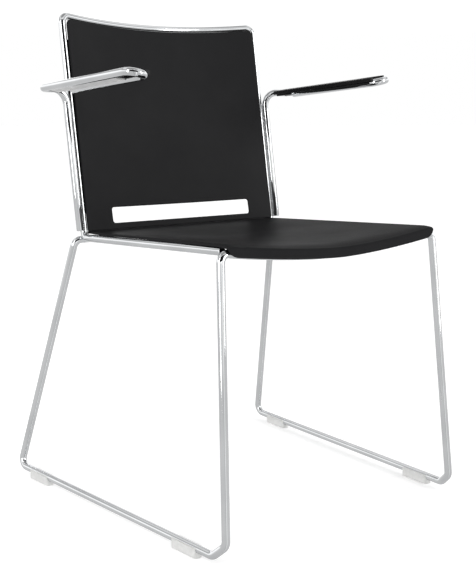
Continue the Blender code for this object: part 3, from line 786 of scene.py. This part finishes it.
def make_seat(material):
    columns = spread(-SEAT_GRID_HALF, SEAT_GRID_HALF, SEAT_COLUMNS)
    rows = spread(SEAT_GRID_REAR, SEAT_GRID_NOSE, SEAT_ROWS)
    rows += spread(0.0, ROLL_RUN, NOSE_ROWS)
    rows += spread(ROLL_RUN + LIP_ROW_GAP, ROLL_RUN + LIP_RUN, LIP_ROWS)
    bm = sheet(seat_outline(), [], columns, rows, seat_face)
    seat = piece("seat", bm, material, ["seat_shell"])
    face_up(seat, Vector((0.0, 0.0, 1.0)))
    thicken(seat, SEAT_THICKNESS)


def make_back(material):
    columns = spread(-BACK_GRID_HALF, BACK_GRID_HALF, BACK_COLUMNS)
    rows = spread(BACK_GRID_EDGE, BACK_TALL - BACK_GRID_EDGE, BACK_ROWS)
    bm = sheet(back_outline(), [slot_outline()], columns, rows, back_face)
    back = piece("back", bm, material, ["back_shell"])
    face_up(back, Vector((0.0, -1.0, 0.0)))
    thicken(back, BACK_THICKNESS)
    for side, word in SIDES:
        make_back_hook(word, side, material)


def make_back_hook(word, side, material):
    """The moulded hook along the back's edge that snaps behind the upright."""
    inner = RAIL_HALF - ROD_RADIUS - FIT
    wall = inner - CLIP_WALL
    behind = ROD_RADIUS + FIT
    hook = RAIL_HALF - CLIP_SHORT
    outline = [(wall, -ROD_RADIUS), (inner, -ROD_RADIUS), (inner, behind * 0.4)]
    for i in range(CLIP_ARC_STEPS + 1):
        angle = CLIP_ARC_START - CLIP_ARC * i / CLIP_ARC_STEPS
        outline.append((RAIL_HALF + behind * math.cos(angle), behind * math.sin(angle)))
    outline += [(hook, behind), (hook, behind + CLIP_WALL)]
    outline += [(wall + CLIP_WALL, behind + CLIP_WALL), (wall, behind + CLIP_WALL * 0.3)]
    low = back_bottom() + CLIP_START
    bm = bmesh.new()
    rings = []
    for z in (low, low + CLIP_LENGTH):
        rings.append([bm.verts.new((side * x, upright_y(z) + y, z)) for x, y in outline])
    count = len(outline)
    for k in range(count):
        n = (k + 1) % count
        bm.faces.new((rings[0][k], rings[0][n], rings[1][n], rings[1][k]))
    bm.faces.new(rings[0][::-1])
    bm.faces.new(rings[1])
    piece(word + "_back_hook", bm, material, sharp=HOOK_SHARP)


def dress_nodes(looks):
    """Gives the solids that are shown as they are their procedural finish."""
    for name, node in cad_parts.items():
        if node.hide_render:
            continue
        for key, material in looks.items():
            if key in name:
                node.data.materials.clear()
                node.data.materials.append(material)
        for polygon in node.data.polygons:
            polygon.use_smooth = True
        node.data.set_sharp_from_angle(angle=SOLID_SHARP)


# Stage

def stage_sheet(name, width, height, segments, material):
    """A flat sheet that belongs to the studio and not to the chair."""
    bm = bmesh.new()
    bmesh.ops.create_grid(bm, x_segments=segments, y_segments=segments, size=0.5)
    bmesh.ops.scale(bm, verts=bm.verts, vec=(width, height, 1.0))
    mesh = bpy.data.meshes.new(name)
    bm.to_mesh(mesh)
    bm.free()
    mesh.materials.append(material)
    obj = bpy.data.objects.new(name, mesh)
    bpy.context.scene.collection.objects.link(obj)
    return obj


def make_floor():
    """White paper that glows a little, and that the chrome doesn't mirror."""
    material, shader = new_material("floor_paper", grey(FLOOR_TONE), 0.9)
    shader.inputs["Specular IOR Level"].default_value = 0.1
    shader.inputs["Emission Color"].default_value = (1.0, 1.0, 1.0, 1.0)
    shader.inputs["Emission Strength"].default_value = FLOOR_GLOW
    floor = stage_sheet("floor", 2 * FLOOR_HALF, 2 * FLOOR_HALF, 8, material)
    floor.location.z = -FLOOR_DROP
    floor.visible_glossy = False


def make_dark_card():
    """The unlit room beyond the camera, which the chrome mirrors as a dark line."""
    material, shader = new_material("dark_room", grey(0.01), 1.0)
    shader.inputs["Specular IOR Level"].default_value = 0.0
    card = stage_sheet("dark_card", CARD_WIDTH, CARD_HEIGHT, 1, material)
    card.location = CARD_PLACE
    way = Vector((0.0, 0.0, card.location.z)) - card.location
    card.rotation_euler = way.to_track_quat('Z', 'Y').to_euler()
    card.visible_camera = False
    card.visible_diffuse = False
    card.visible_shadow = False


def area_light(name, place, target, width, height, power):
    light = bpy.data.lights.new(name, 'AREA')
    light.shape = 'RECTANGLE'
    light.size = width
    light.size_y = height
    light.energy = power
    obj = bpy.data.objects.new(name, light)
    bpy.context.scene.collection.objects.link(obj)
    obj.location = place
    way = Vector(target) - Vector(place)
    obj.rotation_euler = way.to_track_quat('-Z', 'Y').to_euler()


def make_lights():
    area_light("left_strip", LEFT_STRIP_PLACE, STRIP_TARGET,
               STRIP_WIDTH, STRIP_HEIGHT, STRIP_POWER)
    area_light("right_strip", RIGHT_STRIP_PLACE, STRIP_TARGET,
               STRIP_WIDTH, STRIP_HEIGHT, STRIP_POWER)
    area_light("top", TOP_LIGHT_PLACE, TOP_LIGHT_TARGET,
               TOP_LIGHT_SIZE, TOP_LIGHT_SIZE, TOP_LIGHT_POWER)


def grey_ramp(tree, share, stops):
    """Greys along a share that runs from 0 to 1."""
    node = tree.nodes.new("ShaderNodeValToRGB")
    elements = node.color_ramp.elements
    while len(elements) < len(stops):
        elements.new(0.5)
    for element, (position, value) in zip(elements, stops):
        element.position = position
        element.color = (*grey(value), 1.0)
    tree.links.new(share, node.inputs["Fac"])
    return node.outputs["Color"]


def share_of(tree, value, low, high):
    """A value's share of the way from low to high."""
    node = tree.nodes.new("ShaderNodeMapRange")
    node.inputs["From Min"].default_value = low
    node.inputs["From Max"].default_value = high
    tree.links.new(value, node.inputs["Value"])
    return node.outputs["Result"]


def turn_round(tree, x, y):
    """The angle of a direction round the chair, which is zero towards -Y."""
    flip = tree.nodes.new("ShaderNodeMath")
    flip.operation = 'MULTIPLY'
    flip.inputs[1].default_value = -1.0
    tree.links.new(y, flip.inputs[0])
    turn = tree.nodes.new("ShaderNodeMath")
    turn.operation = 'ARCTAN2'
    tree.links.new(x, turn.inputs[0])
    tree.links.new(flip.outputs[0], turn.inputs[1])
    return turn.outputs[0]


def make_world():
    """A studio of pale and grey walls, for the rods to mirror."""
    world = bpy.data.worlds.new("studio")
    bpy.context.scene.world = world
    world.use_nodes = True
    tree = world.node_tree
    place = tree.nodes.new("ShaderNodeTexCoord")
    split = tree.nodes.new("ShaderNodeSeparateXYZ")
    tree.links.new(place.outputs["Generated"], split.inputs[0])
    height = share_of(tree, split.outputs["Z"], -1.0, 1.0)
    angle = turn_round(tree, split.outputs["X"], split.outputs["Y"])
    turn = share_of(tree, angle, -math.pi, math.pi)
    both = tree.nodes.new("ShaderNodeVectorMath")
    both.operation = 'MULTIPLY'
    tree.links.new(grey_ramp(tree, height, WALL_BY_HEIGHT), both.inputs[0])
    tree.links.new(grey_ramp(tree, turn, WALL_BY_TURN), both.inputs[1])
    background = tree.nodes["Background"]
    tree.links.new(both.outputs["Vector"], background.inputs["Color"])
    background.inputs["Strength"].default_value = 1.0


def make_camera():
    data = bpy.data.cameras.new("photo_camera")
    camera = bpy.data.objects.new("photo_camera", data)
    bpy.context.scene.collection.objects.link(camera)
    data.sensor_width = SENSOR
    data.lens = FOCAL_PIXELS / PHOTO_HEIGHT * SENSOR
    level = math.cos(CAMERA_PITCH)
    look = Vector((-math.sin(CAMERA_YAW) * level, math.cos(CAMERA_YAW) * level,
                   -math.sin(CAMERA_PITCH)))
    turn = look.to_track_quat('-Z', 'Y') @ Matrix.Rotation(CAMERA_ROLL, 3, 'Z').to_quaternion()
    camera.location = CAMERA_PLACE
    camera.rotation_euler = turn.to_euler()
    data.clip_start = CAMERA_NEAR
    data.clip_end = CAMERA_FAR
    bpy.context.scene.camera = camera


def build():
    chrome = chrome_material("bright_chrome")
    make_rods(chrome)
    make_seat(plastic_material("seat_black", *SEAT_LOOK))
    make_back(plastic_material("back_black", *BACK_LOOK))
    dress_nodes({
        "arm_pad": plastic_material("pad_black", *PAD_LOOK),
        "glide": clear_material("milky_plastic"),
        "seat_tab": chrome,
        "arm_plate": paint_material("grey_paint"),
        "seat_screw": zinc_material("zinc_plate"),
    })
    make_floor()
    make_dark_card()
    make_world()
    make_lights()
    make_camera()
    bpy.context.scene.view_settings.view_transform = 'Standard'


build()
